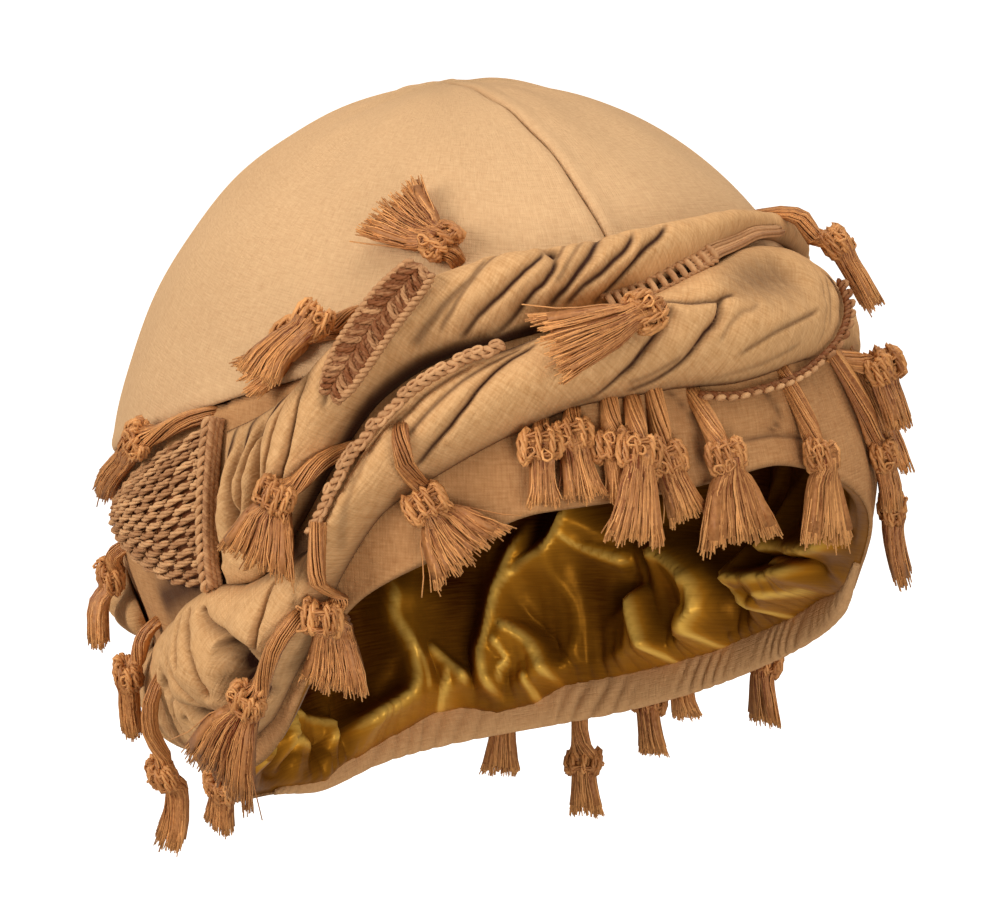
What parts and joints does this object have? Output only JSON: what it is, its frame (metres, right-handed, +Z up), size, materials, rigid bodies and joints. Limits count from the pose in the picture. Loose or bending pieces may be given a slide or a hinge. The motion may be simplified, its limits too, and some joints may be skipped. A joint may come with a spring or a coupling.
{
  "type": "pre-tied durag head wrap",
  "caption": "Satin-lined cap with a twisted scarf sewn round the brow, crochet edges, hanging tassels and a gathered elastic hem.",
  "frame": {"origin": "on the middle plane, at the top of the hollow, where the lining rests on the crown of the head", "axes": "+Z up as worn, +X to the wearer's left, -Y to the front"},
  "size_m": [0.1888, 0.2318, 0.2016],
  "materials": {
    "cap_cloth": "plain-woven viscose and cotton, tan, matt with a faint sheen",
    "lining_satin": "polyester satin, old gold, glossy, loosely wrinkled",
    "hem_cloth": "plain-woven tan cloth, gathered on elastic",
    "scarf_cloth": "plain-woven viscose scarf, tan, pleated and twisted",
    "crochet_cord": "crochet and knotted cord, light brown",
    "tassel_yarn": "silky rayon yarn, copper brown, loose ends"
  },
  "bodies": {
    "root": {"cap_panel_left": "cap_cloth", "cap_panel_right": "cap_cloth", "cap_side_band": "cap_cloth", "satin_lining": "lining_satin", "gathered_hem": "hem_cloth", "upper_twist": "scarf_cloth", "lower_twist": "scarf_cloth", "scarf_end": "crochet_cord", "crochet_patch": "crochet_cord", "edge_gap": "crochet_cord", "edge_ladder": "crochet_cord", "edge_beads": "crochet_cord", "tassel_crown": "tassel_yarn", "tassel_temple_a": "tassel_yarn", "tassel_temple_b": "tassel_yarn", "tassel_side_a": "tassel_yarn", "tassel_side_b": "tassel_yarn", "tassel_side_c": "tassel_yarn", "tassel_brow_a": "tassel_yarn", "tassel_front_a": "tassel_yarn", "tassel_brow_b": "tassel_yarn", "tassel_brow_c": "tassel_yarn", "tassel_brow_d": "tassel_yarn", "tassel_brow_e": "tassel_yarn", "tassel_brow_f": "tassel_yarn", "tassel_brow_g": "tassel_yarn", "tassel_brow_h": "tassel_yarn", "tassel_loop": "tassel_yarn", "tassel_flank_a": "tassel_yarn", "tassel_flank_b": "tassel_yarn", "tassel_flank_c": "tassel_yarn", "tassel_flank_d": "tassel_yarn", "tassel_flank_e": "tassel_yarn", "tassel_left_a": "tassel_yarn", "tassel_left_b": "tassel_yarn", "tassel_left_c": "tassel_yarn", "tassel_fringe": "tassel_yarn", "tassel_back_a": "tassel_yarn", "tassel_back_b": "tassel_yarn", "tassel_back_c": "tassel_yarn", "tassel_back_d": "tassel_yarn", "tassel_back_e": "tassel_yarn", "tassel_back_f": "tassel_yarn"}
  },
  "joints": []
}
